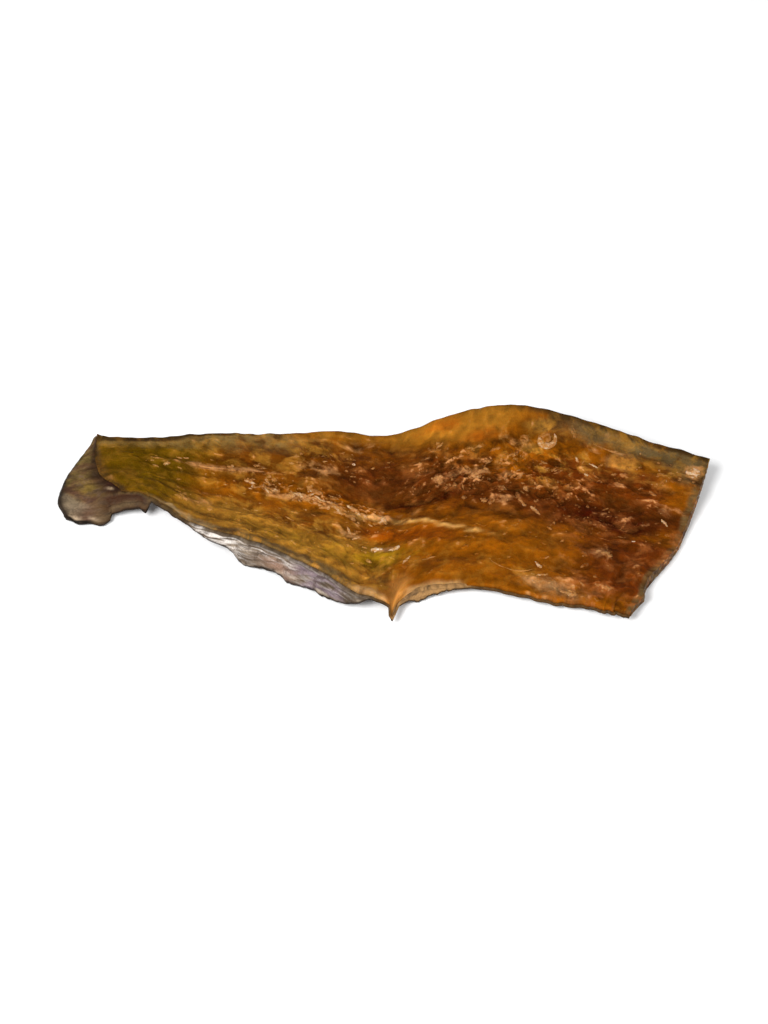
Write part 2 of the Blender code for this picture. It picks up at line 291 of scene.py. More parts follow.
def bare_skin_width(along):
    """How far the skin reaches past the belly edge, finely torn."""
    width = np.full_like(along, LEAST_SKIN)
    for stretch in (NECK_SKIN, BELLY_SKIN, FRINGE_SKIN):
        inside = (along >= stretch[0][0]) & (along <= stretch[-1][0])
        width = np.where(inside, np.maximum(width, spline(stretch, along)), width)
    torn = ramp(1.5, 4, width) * ramp(17, 20, along)
    fuzzy = plateau(along, 69, 79, 2)
    nick = (along / 1.9 + 0.4 * wobble(along, 0 * along, 3, 31)) % 1 - 0.5
    ragged = wobble(along, 0 * along, 0.8, 37)
    torn_steps = torn * (0.2 * nick + 0.25 * ragged)
    fray = fuzzy * (0.5 * ragged + 0.5 * wobble(along, 0 * along, 1.7, 38))
    return np.maximum(LEAST_SKIN, width + torn_steps + fray)


def pulled(points, along, share):
    """(points, pull): the sheet with the shred drawn out, and how far each place is pulled."""
    clear = ramp(0.5, 2, edge_curve(2, along)[..., 2])
    pull = np.zeros_like(along)
    rise = np.zeros_like(along)
    for reach, reaches_in in zip(shred_reach(along), (0.86, 0.94)):
        drawn = ramp(reaches_in, 1, share)
        pull += reach * drawn
        rise += reach / SHRED_LENGTH * (SHRED_ARCH * 4 * drawn * (1 - drawn) - SHRED_SAG * drawn ** 2)
    points = points + belly_outward(along) * pull[..., None]
    points[..., 2] += clear * rise
    return points, pull


def margin_points(along, past):
    """Points of the bare skin: past is 0 at the flesh's edge and 1 at the torn edge."""
    one = np.ones_like(along)
    edge, _ = pulled(sheet_points(along, one), along, one)
    width = bare_skin_width(along)
    drop = np.minimum(width * math.sin(SKIN_DROOP), np.maximum(0, edge[..., 2] - GROUND_GAP))
    out = np.sqrt(np.maximum(0, width * width - drop * drop))
    points = edge + belly_outward(along) * (out * past)[..., None]
    lowest = np.minimum(edge[..., 2], GROUND_GAP)
    points[..., 2] = np.maximum(edge[..., 2] - drop * past ** 1.3, lowest)
    return points


def upward(points):
    """The sheet's normals on its flesh side, from a grid of points (along, across)."""
    normals = np.cross(np.gradient(points, axis=1), np.gradient(points, axis=0))
    return normals / np.maximum(np.linalg.norm(normals, axis=-1, keepdims=True), 1e-9)


def blurred(field, times):
    """The field with its fine detail averaged away."""
    for _ in range(times):
        padded = np.pad(field, 1, mode="edge")
        field = (
            padded[:-2, 1:-1] + padded[2:, 1:-1] + padded[1:-1, :-2] + padded[1:-1, 2:]
        ) / 4
    return field


# ---------------------------------------------------------------- the flesh's form
def muscle_depth(along, share):
    """The smooth depth of the flesh, skin included."""
    swelling = SEAM_SHARE + sum(h * bell(share, place, w) for place, w, h in MUSCLES)
    general = NECK_FLESH + (BODY_FLESH - NECK_FLESH) * ramp(20, 80, along)
    band = bell(share, spline(BAND_MIDDLE, along) + 0.1, 0.05) * ramp(30, 60, along)
    return FILM_DEPTH + general * swelling - 0.45 * band


def flesh_start(share):
    """Where along the sheet the flesh begins, on a slant."""
    return CREASE - 0.2 - START_SLANT * (1 - share) + START_HOOK * ramp(0.6, 1, share)


def crumbled(along, share):
    """Where the flesh has broken up into crumbs, 0 to 1."""
    middle = plateau(along, 66, 98, 16) * plateau(share, 0.14, 0.46, 0.14)
    left = 0.6 * blob(along, share, 54, 0.22, 8, 0.09)
    right = 0.45 * plateau(along, 96, 116, 10) * plateau(share, 0.16, 0.62, 0.2)
    return np.clip(middle + left + right, 0, 1)


def flaky(along, share):
    """Where pale flakes stand up: a slanting strip under the left half of the band."""
    strip = bell(share, spline(FLAKY_LINE, along) - 0.02, 0.08 - 0.03 * ramp(50, 58, along))
    return strip * plateau(along, 34, 62, 8)


def ridge(along, share):
    line = spline(RIDGE_LINE, along) + 0.014 * wobble(along, 0 * share, 3, 41)
    worn = ramp(-0.6, 0.2, wobble(along, share * MEAN_WIDTH, 1.5, 43, 2.2))
    return worn * bell(share, line, 0.019) * plateau(along, 55, 82, 10)


def lumps(along, across, size, seed, stretch=1):
    """Rounded mounds with creases between them, 0 to about 1."""
    return np.abs(wobble(along, across, size, seed, stretch)) * 2


def web(along, across, size, seed, stretch=1):
    """Thin winding ridges, broken here and there, 0 to 1."""
    ridges = ramp(0.1, 0, np.abs(wobble(along, across, size, seed, stretch)))
    return ridges * ramp(-0.15, 0.15, wobble(along, across, 1.4 * size, seed + 0.5, stretch))


def crumb_height(along, across):
    """Mounds and grit of the broken flesh, with a few holes."""
    rough = partial(wobble, along, across)
    bent = across + 1.1 * rough(2.3, 25)
    shifted = along + 1.1 * rough(2.3, 27)
    patchy = 0.45 + 0.55 * ramp(-0.2, 0.25, rough(4.5, 29))
    holes = ramp(0.26, 0.48, rough(2.4, 15, 1.5))
    mounds = 0.6 * lumps(shifted, bent, 2.3, 11, 1.5) + 0.34 * lumps(shifted, bent, 1, 13, 1.4)
    fine = 0.1 * lumps(along, across, 0.5, 14)
    lines = web(shifted, bent, 2, 21, 1.3) + 0.7 * web(along, bent, 1.2, 24)
    return patchy * (0.8 * mounds + fine + 0.42 * lines - 0.35) - 0.5 * holes


def flesh_relief(along, share):
    """(height, cavity): the flesh side's fine relief and how far each place stands out of it."""
    across = across_sheet(along, share)
    rough = partial(wobble, along, across)
    waver = 0.9 * rough(1.8, 26)
    bent, lengthwise = across + waver, share * MEAN_WIDTH + waver
    sway = along + 2 * rough(14, 2)
    grown = ramp(0.5, 6, along - flesh_start(share))
    crumbs, flakes = crumbled(along, share), flaky(along, share)

    folds = np.sin(share * FOLDS_ACROSS * 2 * math.pi + 1.6 * wobble(along, share * 10, 22, 5))
    height = FOLD_HEIGHT * folds * ramp(8, 20, along)
    # fibres run lengthwise, in short coarse bundles and fine threads
    height += grown * 0.07 * wobble(sway, lengthwise, 1.6, 3, 2.4)
    height += grown * 0.04 * wobble(sway, lengthwise, 0.6, 4, 2.6)
    # unevenness of several sizes
    height += 0.42 * rough(3.8, 17, 1.2)
    height += grown * 0.19 * wobble(along, bent, 1.7, 18, 1.1)
    height += grown * 0.06 * rough(0.8, 23)
    # patches where the surface film has lifted in low scabs
    scabs = ramp(0.1, 0.22, wobble(along + 1.5 * rough(1.3, 31), bent, 2.7, 33, 1.7))
    height += grown * 0.13 * scabs
    height += crumbs * crumb_height(along, across)
    # pale flakes: thin plates that overlap towards the belly
    plates = (bent / 1.7 + along / 5 + 0.8 * rough(2.2, 19)) % 1
    threads = web(along, across - 0.35 * along, 1.9, 28, 2) + 0.6 * web(along, bent, 1.1, 30, 1.6)
    mounds = lumps(along, bent, 1, 20, 1.8)
    height += flakes * (0.22 * plates + 0.2 * mounds + 0.26 * threads - 0.15)
    # a few threads elsewhere
    strewn = grown * (1 - crumbs) * (1 - flakes)
    height += 0.12 * strewn * web(along, bent, 2.8, 32, 2.4)
    height += 0.17 * ridge(along, share)
    return height, height - blurred(height, CAVITY_BLUR)


def edge_rounding(along, share):
    """How much of the flesh's depth is left near its edges: a rounded fall, 0 to 1."""
    back = np.sqrt(np.clip((share + 0.004) / 0.05, 0, 1))
    belly = np.sqrt(np.clip((1.006 - share) / 0.045, 0, 1))
    thin_back = 0.5 + 0.5 * ramp(0, 0.14, share)
    rim = 0.42 - 0.24 * plateau(along, 68, 82, 4)
    return (0.25 + 0.75 * back) * (rim + (1 - rim) * belly) * thin_back


def make_grid(first, last, steps, rows):
    """Arrays of distance along and share across, steps + 1 by rows + 1."""
    along = np.linspace(first, last, steps + 1)
    share = np.linspace(0, 1, rows + 1)
    return np.meshgrid(along, share, indexing="ij")


# ---------------------------------------------------------------- meshes
def to_frame(points):
    """Sheet millimetres as metres in the part's frame."""
    moved = np.array(points, float)
    moved[..., 0] -= SHEET_CENTRE[0]
    moved[..., 1] -= SHEET_CENTRE[1]
    return moved * MM


def add_attributes(mesh, fields):
    """Stores arrays on the mesh's points: one number each, or three for a vector."""
    for name, values in fields.items():
        vector = values.ndim == 2
        layer = mesh.attributes.new(name, "FLOAT_VECTOR" if vector else "FLOAT", "POINT")
        layer.data.foreach_set("vector" if vector else "value", values.astype(np.float32).ravel())


def make_piece(name, vertices, faces, material, fields):
    """A smooth-shaded object from points in metres, lists of corners and numbers at the points."""
    mesh = bpy.data.meshes.new(name)
    mesh.from_pydata([tuple(v) for v in vertices], [], faces)
    add_attributes(mesh, fields)
    mesh.materials.append(material)
    mesh.shade_smooth()
    mesh.update()
    piece = bpy.data.objects.new(name, mesh)
    bpy.context.scene.collection.objects.link(piece)
    return piece


def closed_faces(upper, lower, skip=1):
    """Faces of a closed body between two grids, each given as its (columns, rows) of points.

    The lower grid keeps every skip-th row of the upper one. The upper grid may have more
    columns: the extra ones run down the end face.
    """
    steps, rows = upper[0] - 1, upper[1] - 1
    low_steps, low_rows = lower[0] - 1, lower[1] - 1

    def up(i, j):
        return i * (rows + 1) + j

    def down(i, j):
        return upper[0] * upper[1] + i * (low_rows + 1) + j

    faces = [
        (up(i, j), up(i, j + 1), up(i + 1, j + 1), up(i + 1, j))
        for i in range(steps) for j in range(rows)
    ]
    faces += [
        (down(i + 1, j), down(i + 1, j + 1), down(i, j + 1), down(i, j))
        for i in range(low_steps) for j in range(low_rows)
    ]
    for i in range(low_steps):
        faces.append((up(i, 0), up(i + 1, 0), down(i + 1, 0), down(i, 0)))
        faces.append((down(i, low_rows), down(i + 1, low_rows), up(i + 1, rows), up(i, rows)))
    for i in range(low_steps, steps):
        faces.append((up(i, 0), up(i + 1, 0), down(low_steps, 0)))
        faces.append((down(low_steps, low_rows), up(i + 1, rows), up(i, rows)))
    for j in range(low_rows):
        first = [up(0, j * skip + k) for k in range(skip + 1)]
        faces.append(tuple(first + [down(0, j + 1), down(0, j)])[::-1])
        last = [up(steps, j * skip + k) for k in range(skip + 1)]
        faces.append(tuple(last + [down(low_steps, j + 1), down(low_steps, j)]))
    return faces


def closed_sheet(name, top, bottom, skip, material, fields):
    """A closed body between two grids, the lower one thinned out to every skip-th row."""
    lower = bottom[:, ::skip]
    vertices = np.concatenate([top.reshape(-1, 3), lower.reshape(-1, 3)])
    spread = {}
    for key, values in fields.items():
        below = values[:len(bottom), ::skip]
        tail = values.shape[2:]
        spread[key] = np.concatenate([values.reshape(-1, *tail), below.reshape(-1, *tail)])
    faces = closed_faces(top.shape[:2], lower.shape[:2], skip)
    return make_piece(name, to_frame(vertices), faces, material, spread)


# ---------------------------------------------------------------- shader nodes
class Nodes:
    """A new material, and what adds nodes to it."""

    def __init__(self, name):
        self.material = bpy.data.materials.new(name)
        self.material.use_nodes = True
        self.tree = self.material.node_tree
        self.shader = self.tree.nodes["Principled BSDF"]

    def feed(self, node, key, value):
        """Gives a node's input a number or colour, or links another node's output to it."""
        if isinstance(value, bpy.types.NodeSocket):
            self.tree.links.new(value, node.inputs[key])
        else:
            node.inputs[key].default_value = value

    def add(self, kind, inputs, **settings):
        """A node, its inputs given by name or number."""
        node = self.tree.nodes.new(kind)
        for key, value in settings.items():
            setattr(node, key, value)
        for key, value in inputs.items():
            self.feed(node, key, value)
        return node

    def set(self, name, value):
        """One of the shader's own inputs."""
        self.feed(self.shader, name, value)

    def field(self, name, output="Fac"):
        return self.add("ShaderNodeAttribute", {}, attribute_name=name).outputs[output]

    def speckle(self, stretch, shift, size, detail, roughness, swirl=0.0):
        """Noise from 0 to 1 with features about size millimetres wide, stretch times longer."""
        laid_out = {0: self.field("place", "Vector"), 1: (1 / stretch, 1, 1), 2: (shift,) * 3}
        place = self.add("ShaderNodeVectorMath", laid_out, operation="MULTIPLY_ADD")
        inputs = {"Vector": place.outputs["Vector"], "Scale": 1 / size, "Detail": detail,
                  "Roughness": roughness, "Distortion": swirl}
        return self.add("ShaderNodeTexNoise", inputs).outputs["Fac"]

    def remap(self, value, low, high, to_low=0.0, to_high=1.0):
        inputs = {"Value": value, "From Min": low, "From Max": high,
                  "To Min": to_low, "To Max": to_high}
        node = self.add("ShaderNodeMapRange", inputs, interpolation_type="SMOOTHSTEP")
        return node.outputs["Result"]

    def spread(self, pattern, low, high):
        """Noise, nearly all of it between 0.3 and 0.7, laid over the range from low to high."""
        return self.remap(pattern, 0.3, 0.7, low, high)

    def calculate(self, operation, first, second):
        node = self.add("ShaderNodeMath", {0: first, 1: second}, operation=operation)
        return node.outputs["Value"]

    def product(self, first, *others):
        for other in others:
            first = self.calculate("MULTIPLY", first, other)
        return first

    def mix(self, share, first, second, blend="MIX"):
        inputs = {0: share, 6: first, 7: second}
        return self.add("ShaderNodeMix", inputs, data_type="RGBA", blend_type=blend).outputs[2]

    def darkened(self, colour, shade):
        """The colour times a shade that is the same for red, green and blue."""
        grey = self.add("ShaderNodeCombineColor", {0: shade, 1: shade, 2: shade})
        return self.mix(1.0, colour, grey.outputs["Color"], "MULTIPLY")

    def frayed(self, name, pattern, ragged, limits, reach):
        """A field whose edge a pattern makes ragged; it stays away where the field is nought."""
        field = self.field(name)
        shift = self.product(self.calculate("SUBTRACT", pattern, 0.5), ragged)
        share = self.remap(self.calculate("ADD", field, shift), *limits)
        return self.product(share, self.remap(field, 0.0, reach))

    def bump(self, height, strength, distance):
        inputs = {"Height": height, "Strength": strength, "Distance": distance}
        self.set("Normal", self.add("ShaderNodeBump", inputs).outputs["Normal"])


# ---------------------------------------------------------------- flesh: colours by place
AMBER = srgb(130, 70, 4)
CLOUD, RED_CLOUD = srgb(166, 114, 38), srgb(142, 80, 36)
PALE, STAIN = srgb(178, 124, 76), srgb(62, 26, 3)
BLOTCHES = (0.46, 0.66)     # the noise from which blotches come in, and where they are full
LAYER_FRAY = 2.4            # how far noise moves the edge of a layer that is wholly ragged
# Layers of colour over the amber, in painting order: field name, colour, how ragged its edge is.
FLESH_LAYERS = (
    ("golden", (150, 102, 32), 0.8),
    ("brown", (104, 54, 5), 0.5),
    ("olive", (86, 60, 2), 0.45),
    ("khaki", (126, 98, 52), 0.7),
    ("green", (140, 102, 14), 0.7),
    ("dusky", (92, 38, 4), 0.6),
    ("orange", (136, 64, 2), 0.3),
    ("band", (82, 35, 5), 0.6),
    ("dark", (54, 8, 1), 0.6),
    # rim and its crest: partly the flesh's own golden colour, partly painted glow of light through the
    # thin edge
    ("rim", (130, 78, 14), 0.5),
    ("crest_glow", (158, 101, 26), 0.6),
    ("embers", (158, 82, 12), 0.7),
    ("grey", (100, 79, 47), 0.8),
    ("shade", (78, 50, 22), 0.8),
    ("edge_film", (140, 114, 78), 0.8),
    ("belly_edge", (100, 76, 42), 0.6),
    ("fringe", (168, 126, 78), 0.5),
    ("shred", (186, 122, 56), 0.5),
    ("ridge", (206, 154, 82), 0.8),
    ("oval", (186, 122, 50), 0.4),
    ("cut", (98, 76, 44), 0.9),
    # start, and the last part of outline: painted shade in the crease where the flesh begins
    ("start", (70, 48, 18), 0.6),
    ("outline", (58, 40, 18), 0.5),
)


def mottling(along, share, off_band, rim_limit):
    """How blotchy the flesh is: calm on the neck, the rim and the lower middle, 0 to 1."""
    on = partial(plateau, along)
    calm = 0.75 * ramp(32, 16, along) + 0.25 * on(22, 60, 10) * ramp(0.45, 0.6, share)
    calm += 0.8 * on(50, 96, 20) * ramp(0.04, -0.02, share - rim_limit)
    calm += 0.65 * on(66, 98, 10) * ramp(0.5, 0.6, share)
    calm -= 0.2 * bell(off_band, 0, 1.2) * ramp(50, 62, along)
    return np.clip(0.95 - calm, 0, 1)


def flesh_fields(along, share, cavity):
    """Where each layer of colour lies on the flesh, 0 to 1."""
    on = partial(plateau, along)

    def patches(name):
        return sum(much * blob(along, share, *patch) for *patch, much in FLESH_PATCHES[name])

    across = across_sheet(along, share)
    off_band = (share - spline(BAND_MIDDLE, along)) / spline(BAND_WIDTH, along)
    crumbs, flakes = crumbled(along, share), flaky(along, share)
    standing = ramp(0.02, 0.26, cavity)
    patchy = ramp(-0.12, 0.25, wobble(along, across, 3, 51, 1.4))
    near_start = along - flesh_start(share)
    rim_limit = spline(RIM_LIMIT, along)
    fringe = ramp(0.88, 0.97, share)
    orange = on(57, 77, 6) * bell(share, 0.61 + 0.0055 * (along - 62), 0.05)
    mottled = mottling(along, share, off_band, rim_limit)
    cloudy = (0.5 + 0.45 * on(26, 62, 16) * ramp(0.45, 0.7, share)
              - 0.3 * bell(off_band, 0, 1.3) * ramp(44, 60, along)
              + 0.3 * crumbs + 0.3 * ramp(96, 106, along) * fringe)
    pale = ((0.75 * crumbs + 0.6 * flakes) * standing * patchy
            + 0.35 * ramp(0.06, 0.2, cavity) * (1 - crumbs))
    return {
        "golden": on(16, 60, 18) * ramp(0.48, 0.76, share),
        "brown": on(26, 72, 16) * plateau(share, 0.07, 0.38, 0.12)
        + 0.7 * on(66, 84, 6) * bell(share, 0.88, 0.06)
        + 0.4 * on(90, 117, 5) * bell(share, 0.84, 0.06) + patches("brown"),
        "olive": ramp(34, 15, along + 8 * (share - 0.5)),
        "khaki": 0.8 * on(2, 46, 20) * ramp(0.22, 0.02, share),
        "green": patches("green"),
        "dusky": ramp(92, 112, along) * ramp(0.46, 0.62, share) * (1 - 0.7 * fringe)
        + 0.9 * on(88, 114, 8) * plateau(share, 0.2, 0.5, 0.1)
        + 0.7 * on(94, 112, 6) * bell(share, 0.19, 0.04),
        "orange": orange,
        "band": bell(off_band, 0, 1) * ramp(38, 58, along),
        "dark": patches("dark"),
        # the golden rim, brightest at its crest: partly own colour, partly painted glow of light through
        # the thin edge
        "rim": on(42, 88, 10) * ramp(0.04, -0.03, share - rim_limit),
        "crest_glow": on(60, 84, 8) * ramp(0.01, -0.06, share - rim_limit),
        "embers": patches("embers"),
        "grey": ramp(86, 98, along) * ramp(0.13, 0.02, share)
        + 0.8 * ramp(106, 117, along) * ramp(0.26, 0.06, share),
        "shade": patches("shade"),
        "belly_edge": on(28, 58, 8) * ramp(0.93, 0.985, share),
        "fringe": on(68.5, 80, 2.5) * ramp(0.962, 0.986, share)
        + 0.8 * on(57, 66, 4) * ramp(0.965, 0.995, share),
        "shred": bell(along, SHRED_AT + 0.4, 2.2) * ramp(0.87, 0.96, share),
        "oval": on(103.1, 107.9, 1.6) * plateau(share, 0.098, 0.16, 0.03),
        # painted shade in the crease where the flesh begins
        "start": 0.9 * ramp(2.2, 0.4, near_start),
        "edge_film": 0.9 * on(16, 34, 12) * ramp(0.93, 1, share)
        + 0.6 * on(56, 66, 8) * ramp(0.95, 1, share) + patches("edge_film"),
        "ridge": 0.8 * ridge(along, share),
        "cut": 0.8 * ramp(LENGTH - 1.8, LENGTH - 0.5, along),
        "outline": ramp(0.03, 0.004, share) * (1 - 0.75 * on(30, 88, 12))
        + ramp(0.085, 0.03, share) * ramp(26, 18, along)
        + 0.9 * bell(along, SHRED_AT, 0.8) * ramp(0.965, 0.99, share)
        + 0.8 * ramp(0.99, 1, share) * (1 - 0.8 * on(24, 116, 8)) * (1 - on(69, 80, 3))
        # painted shade in the crease where the flesh begins
        + 0.9 * ramp(1.3, 0.2, near_start),
        "pale": np.clip(pale + patches("pale"), 0, 1),
        "reddish": np.clip(bell(off_band, 0, 1.3) * ramp(40, 58, along)
                           + ramp(90, 104, along) * ramp(0.12, 0.3, share), 0, 1),
        "mottled": mottled,
        "cloudy": np.clip(
            cloudy * (0.3 + 0.8 * mottled) * (1 - 0.7 * orange) + patches("cloudy"), 0, 1),
    }


def flesh_colour(nodes):
    """(colour, clouds): the flesh's own colour at each place, before its fine shading."""
    drift = nodes.speckle(1.6, 0, 3.4, 8, 0.68)
    clouds = nodes.speckle(1.3, 40, 2.6, 6, 0.62, 0.5)
    stains = nodes.speckle(1.3, 80, 3.2, 6, 0.62, 0.5)
    broad = nodes.speckle(1.3, 120, 3.6, 3, 0.5)

    colour = AMBER
    for name, layer_colour, ragged in FLESH_LAYERS:
        share = nodes.frayed(name, drift, LAYER_FRAY * ragged, (0, 1), 0.2)
        colour = nodes.mix(share, colour, srgb(*layer_colour))
    most = nodes.product(nodes.field("mottled"), 0.78)
    stained = nodes.product(nodes.remap(stains, *BLOTCHES), most)
    colour = nodes.mix(stained, colour, STAIN)
    cloud_colour = nodes.mix(nodes.field("reddish"), CLOUD, RED_CLOUD)
    cloud = nodes.product(nodes.remap(clouds, *BLOTCHES), nodes.field("cloudy"))
    colour = nodes.mix(cloud, colour, cloud_colour)
    pale = nodes.frayed("pale", clouds, 2.6, (0.15, 0.95, 0, 0.85), 0.25)
    colour = nodes.mix(pale, colour, PALE)
    return nodes.darkened(colour, nodes.spread(broad, 0.79, 1.21)), clouds


def flesh_material():
    nodes = Nodes("dried_flesh")
    streaks = nodes.speckle(6, 20, 0.7, 4, 0.6)
    grain = nodes.speckle(1, 0, 0.32, 4, 0.6)
    colour, clouds = flesh_colour(nodes)
    # painted shade in the grooves and painted light on what stands up
    shade = nodes.product(
        nodes.remap(nodes.field("cavity"), -0.32, 0.32, 0.46, 1.26),
        nodes.spread(streaks, 0.92, 1.08),
        nodes.spread(grain, 0.92, 1.08),
    )
    nodes.set("Base Color", nodes.darkened(colour, shade))
    nodes.set("Roughness", nodes.spread(clouds, 0.34, 0.56))
    set_gloss(nodes)
    height = nodes.calculate("ADD", nodes.product(streaks, 0.5), nodes.product(grain, 1.1))
    nodes.bump(height, 0.6, 0.16 * MM)
    return nodes.material


def set_gloss(nodes):
    """The faint oily gloss and the glow of light that goes through dried flesh."""
    nodes.set("Subsurface Weight", 0.2)
    nodes.set("Subsurface Radius", (1.0, 0.42, 0.12))
    nodes.set("Subsurface Scale", 1.2 * MM)
    nodes.set("Specular IOR Level", 0.09)
    nodes.set("Specular Tint", (1.0, 0.55, 0.12, 1.0))


def with_cut_face(top, bottom, along, share, cavity):
    """The grids with columns added down the cut, which is rough and grainy."""
    down = np.arange(1, CUT_COLUMNS + 1)[:, None] / (CUT_COLUMNS + 1)
    lower, across = CUT_FACE * down, share[-1:] * MEAN_WIDTH
    grain = wobble(lower, across, 0.55, 62) + 0.6 * wobble(lower, across, 1.6, 63)
    columns = top[-1] + (bottom[-1] - top[-1]) * down[..., None]
    columns[..., 0] += 0.3 * grain * np.sin(math.pi * down) + 0.25 * down
    added = (columns, LENGTH + lower + 0 * across, share[-1:] + 0 * down, 0.5 * grain)
    return [np.concatenate(pair) for pair in zip((top, along, share, cavity), added)]


def make_flesh(material):
    """(piece, surface): the dried flesh, with its real relief on top, and that top side."""
    way, share = make_grid(0, 1, FLESH_STEPS, FLESH_ROWS)
    start = flesh_start(share)
    along = start + (LENGTH - start) * way
    skin_side = sheet_points(along, share)
    normals = upward(skin_side)
    skin_side, pull = pulled(skin_side, along, share)

    height, cavity = flesh_relief(along, share)
    depth = muscle_depth(along, share) * (0.8 + 0.2 * ramp(0, 4, LENGTH - along))
    depth = np.maximum(LEAST_DEPTH, depth + height) * edge_rounding(along, share)
    front = ramp(0, 2.2, along - start)
    depth = np.maximum(LEAST_START, START_DEPTH + (depth - START_DEPTH) * front)
    depth *= 1 - SHRED_THINNING * np.minimum(1, pull / SHRED_FOOT)
    # beside the shred the flesh thins out over the fringe of skin
    sunk = plateau(along, 70, 82, 4) * ramp(0.95, 0.99, share)
    depth += (FRINGE_DEPTH - depth) * sunk

    top = skin_side + normals * depth[..., None]
    # the cut is a little ragged
    at_cut = ramp(LENGTH - 1.2, LENGTH, along)
    rough = partial(wobble, 0 * along, share * MEAN_WIDTH)
    top[..., 0] += 0.22 * at_cut * (rough(0.9, 61) + 0.6 * rough(3.1, 64))
    bottom = skin_side + normals * OVERLAP
    surface = (top, normals)
    top, along, share, cavity = with_cut_face(top, bottom, along, share, cavity)
    fields = flesh_fields(along, share, cavity)
    fields["cavity"] = cavity
    fields["place"] = np.stack([along, across_sheet(along, share), 0 * along], -1)
    skip = FLESH_ROWS // FLOOR_ROWS
    return closed_sheet("fillet_flesh", top, bottom, skip, material, fields), surface


# ---------------------------------------------------------------- loose bits on the flesh
# Strips of flakes: how many, (along, share) at both ends, spread across, and from-to pairs
# for length in millimetres, angle in degrees (0 runs to the cut, 90 to the belly) and tone.
FLAKE_STRIPS = (
    (80, (34, 0.41), (62, 0.5), 0.06, (0.8, 2.6), (-20, 60), (0.25, 0.8)),
    (110, (66, 0.22), (95, 0.34), 0.13, (0.7, 2.3), (-85, 85), (0.05, 0.58)),
    (40, (15, 0.34), (42, 0.3), 0.1, (0.5, 1.6), (-20, 20), (0.3, 0.65)),
    (60, (20, 0.62), (60, 0.78), 0.2, (0.6, 2), (-35, 30), (0.15, 0.55)),
    (60, (64, 0.74), (116, 0.78), 0.2, (0.6, 2), (-60, 45), (0.05, 0.4)),
    (60, (94, 0.38), (116, 0.36), 0.24, (0.6, 1.8), (-70, 40), (0.05, 0.48)),
    (26, (91, 0.91), (110, 0.94), 0.05, (0.6, 2.2), (-25, 35), (0.25, 0.66)),
    (24, (42, 0.2), (64, 0.21), 0.08, (0.5, 1.6), (-50, 50), (0.1, 0.6)),
)
CRUMB_STRIPS = (
    (120, (66, 0.24), (99, 0.37), 0.15, (0.3, 0.9), (-90, 90), (0, 0.42)),
    (40, (42, 0.18), (62, 0.24), 0.09, (0.25, 0.8), (-90, 90), (0.05, 0.55)),
    (50, (34, 0.4), (62, 0.52), 0.09, (0.25, 0.7), (-90, 90), (0.2, 0.75)),
    (60, (94, 0.36), (116, 0.4), 0.24, (0.25, 0.8), (-90, 90), (0, 0.45)),
    (90, (12, 0.55), (115, 0.62), 0.37, (0.2, 0.6), (-90, 90), (0.05, 0.4)),
    (30, (108, 0.12), (117, 0.16), 0.08, (0.25, 0.7), (-90, 90), (0.2, 0.75)),
)
# Single bits that the photo shows: along, share, length, width, angle, bend in degrees, tone.
SINGLE_BITS = (
    # bits of tone near 1 come out nearly white: pale flakes, partly painted glints
    (28, 0.32, 8, 0.6, 1, 6, 0.32), (35, 0.3, 5, 0.5, 3, -8, 0.32),
    (54.6, 0.19, 0.8, 0.6, 20, 0, 1), (55.2, 0.62, 2.2, 0.5, 62, 10, 0.8),
    (44.5, 0.45, 2.6, 0.5, 25, 12, 0.85), (46.8, 0.43, 2.2, 0.4, -35, 12, 0.8),
    (48.6, 0.455, 2.8, 0.5, 30, -12, 0.85), (51, 0.47, 2.4, 0.6, 12, 10, 0.8),
    (56.6, 0.655, 1.9, 0.5, -40, 10, 0.75), (61.2, 0.706, 2.6, 1.2, 4, 10, 0.98),
    (65, 0.722, 2.4, 1, -2, 0, 0.98), (58.6, 0.7, 1.2, 0.6, 10, -10, 0.6),
    (68.2, 0.825, 2.3, 0.8, -58, 15, 0.8), (72.8, 0.835, 3, 0.4, -20, 25, 0.5),
    (81, 0.46, 1.7, 1.1, 25, 0, 0.48), (82.6, 0.475, 1.5, 0.9, -20, 0, 0.45),
    (84, 0.4, 1.9, 1.2, 40, 20, 0.35), (77, 0.44, 1.1, 0.9, 0, 0, 0.55),
    (88.4, 0.462, 3, 0.45, 38, 8, 0.6), (91.4, 0.498, 2.8, 0.8, 34, 10, 0.62),
    (94, 0.83, 2.2, 0.7, 48, 10, 0.85),
    (91.25, 0.095, 5.8, 1.15, 158, 215, 0.78), (90.8, 0.092, 2.7, 2.3, 20, 0, 0.28),
    (86.8, 0.125, 2.8, 0.6, 10, 175, 0.32), (86.8, 0.125, 2.8, 0.6, 190, 170, 0.22),
    (96, 0.05, 2.3, 0.9, 62, 0, 0.28), (102.7, 0.085, 6, 0.4, 3, -15, 0.45),
    (97.4, 0.165, 1.3, 0.6, 60, 0, 0.78), (100.6, 0.175, 2, 0.45, 15, 10, 0.78),
    (99.6, 0.24, 0.9, 0.6, 30, 0, 0.8), (111, 0.58, 0.7, 0.5, 0, 0, 1),
    (114.7, 0.42, 2.1, 0.5, 48, 15, 0.85), (116.4, 0.09, 2.2, 1.5, -30, 0, 0.95),
    (88.7, 0.9, 9.5, 0.3, 6, -70, 0.42), (107, 0.7, 2.6, 1.3, 15, 10, 0.45),
    (75.5, 0.28, 3.6, 1.9, 10, 15, 0.22),
)
FLAKE_GRID, CRUMB_GRID = (11, 5), (6, 5)    # points along and across each bit
BIT_DEPTH, WIDEST_DOME = 0.12, 0.75         # how deep a bit sits, and the width that domes it most
RING_BEND = math.radians(120)               # a bit that bends more than this is part of a ring
# The bits' colours by tone: the tones that one comes in over, how much of it, the colour.
FLAKE_TONES = (
    ((0, 0.9, 0, 0.85), (172, 120, 70)),
    ((0.65, 1.05), (190, 156, 122)),
    # the nearly white tone: pale flakes, partly painted glints that stand in for the flesh's gloss
    ((1.05, 1.25), (220, 202, 182)),
)
SEED = 11


